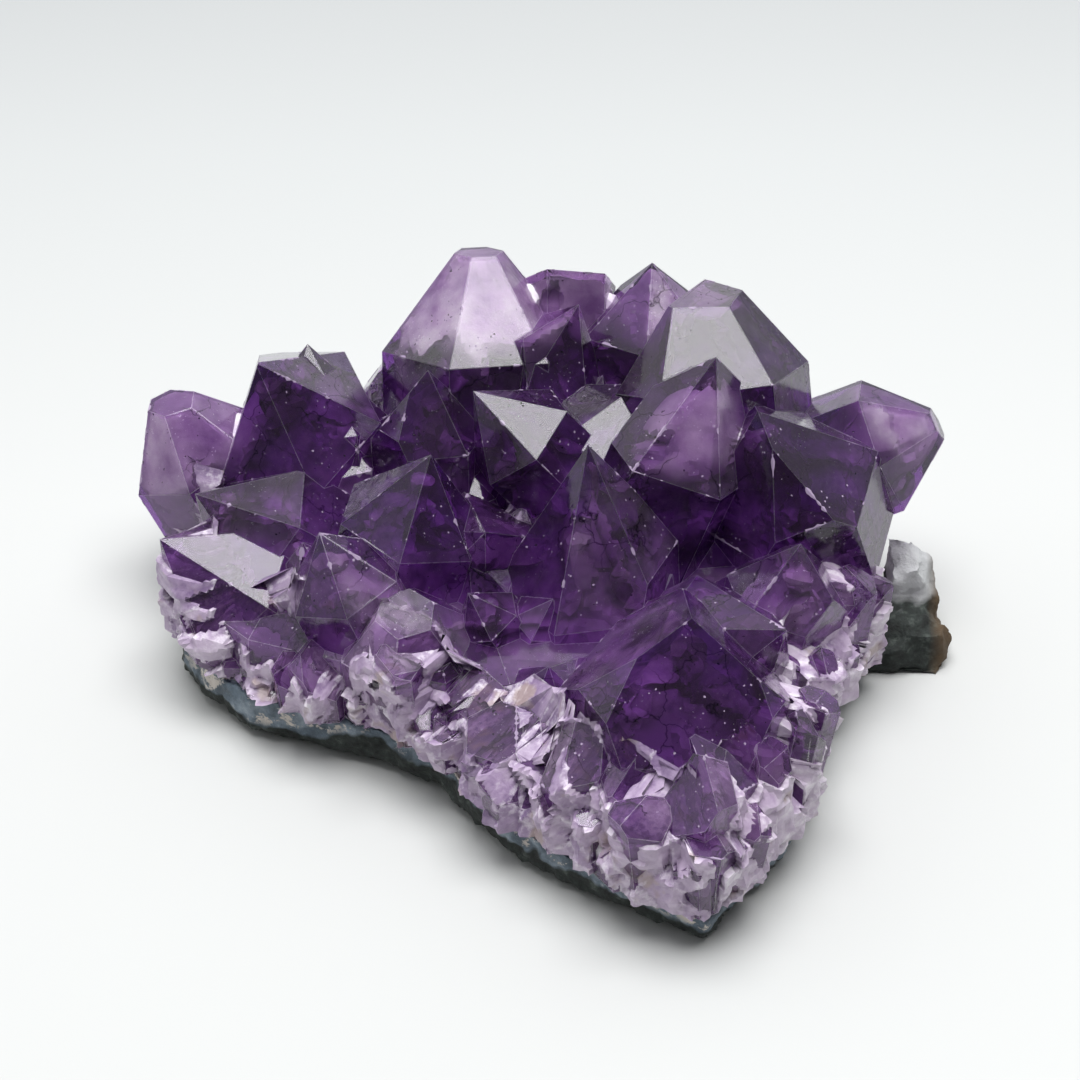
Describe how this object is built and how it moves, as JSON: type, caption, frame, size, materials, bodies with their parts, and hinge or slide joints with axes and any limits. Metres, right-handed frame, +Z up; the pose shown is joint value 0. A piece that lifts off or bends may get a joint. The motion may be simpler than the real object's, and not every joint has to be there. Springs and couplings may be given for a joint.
{
  "type": "amethyst crystal cluster",
  "caption": "Cluster of purple quartz points on a slab of geode rind, with a flat underside to rest on.",
  "frame": {"origin": "middle of the footprint, on the flat underside of the rind", "axes": "+Z up; +X to the right and -Y to the front, where the narrow corner of the slab points"},
  "size_m": [0.1274, 0.1108, 0.0536],
  "materials": {
    "amethyst": "glossy crystal faces, translucent violet with paler roots",
    "rind": "rough dark basalt skin under blue-grey agate with pale flecks"
  },
  "bodies": {
    "root": {"amethyst_crystals": "amethyst", "agate_rind": "rind"}
  },
  "joints": []
}
